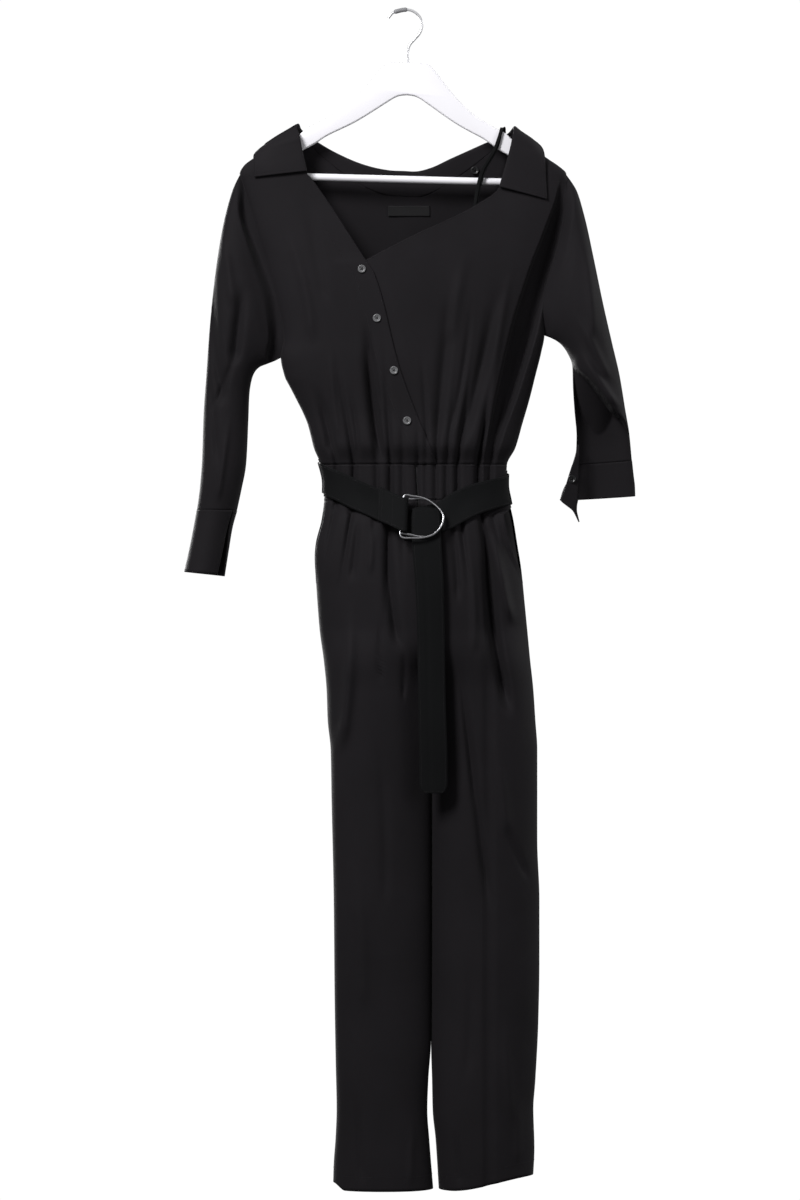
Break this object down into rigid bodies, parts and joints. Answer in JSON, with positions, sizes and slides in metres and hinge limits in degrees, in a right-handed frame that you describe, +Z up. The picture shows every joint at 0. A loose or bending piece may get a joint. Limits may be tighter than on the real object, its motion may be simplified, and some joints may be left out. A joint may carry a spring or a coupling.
{
  "type": "jumpsuit on a hanger",
  "caption": "Black long jumpsuit with a shirt collar, diagonal buttoned wrap front, gathered waist and D-ring belt, hanging on a wooden hanger",
  "frame": {"origin": "the point under the top of the hook's bend, where a rail holds it", "axes": "+Z up along the garment's length, the front faces -Y, +X is the wearer's left"},
  "size_m": [0.6318, 0.1453, 1.6509],
  "materials": {
    "cloth": "soft matt weave, faint sheen",
    "belt": "matt",
    "button": "polished",
    "ring_metal": "dark nickel",
    "hook_metal": "polished",
    "label": "satin weave",
    "hanger_wood": "white lacquer"
  },
  "bodies": {
    "root": {"front_right": "cloth", "front_left": "cloth", "back": "cloth", "collar": "cloth", "waistband": "cloth", "leg_front_right": "cloth", "leg_back_right": "cloth", "leg_front_left": "cloth", "leg_back_left": "cloth", "pocket_right": "cloth", "pocket_left": "cloth", "sleeve_right": "cloth", "sleeve_left": "cloth", "cuff_right": "cloth", "cuff_left": "cloth", "belt": "belt", "belt_tail": "belt", "hanger_loop": "belt", "belt_ring_1": "ring_metal", "belt_ring_2": "ring_metal", "button_1": "button", "button_2": "button", "button_3": "button", "button_4": "button", "button_inner": "button", "label": "label", "hanger_body": "hanger_wood", "hanger_bar": "hanger_wood", "hanger_hook": "hook_metal"}
  },
  "joints": []
}
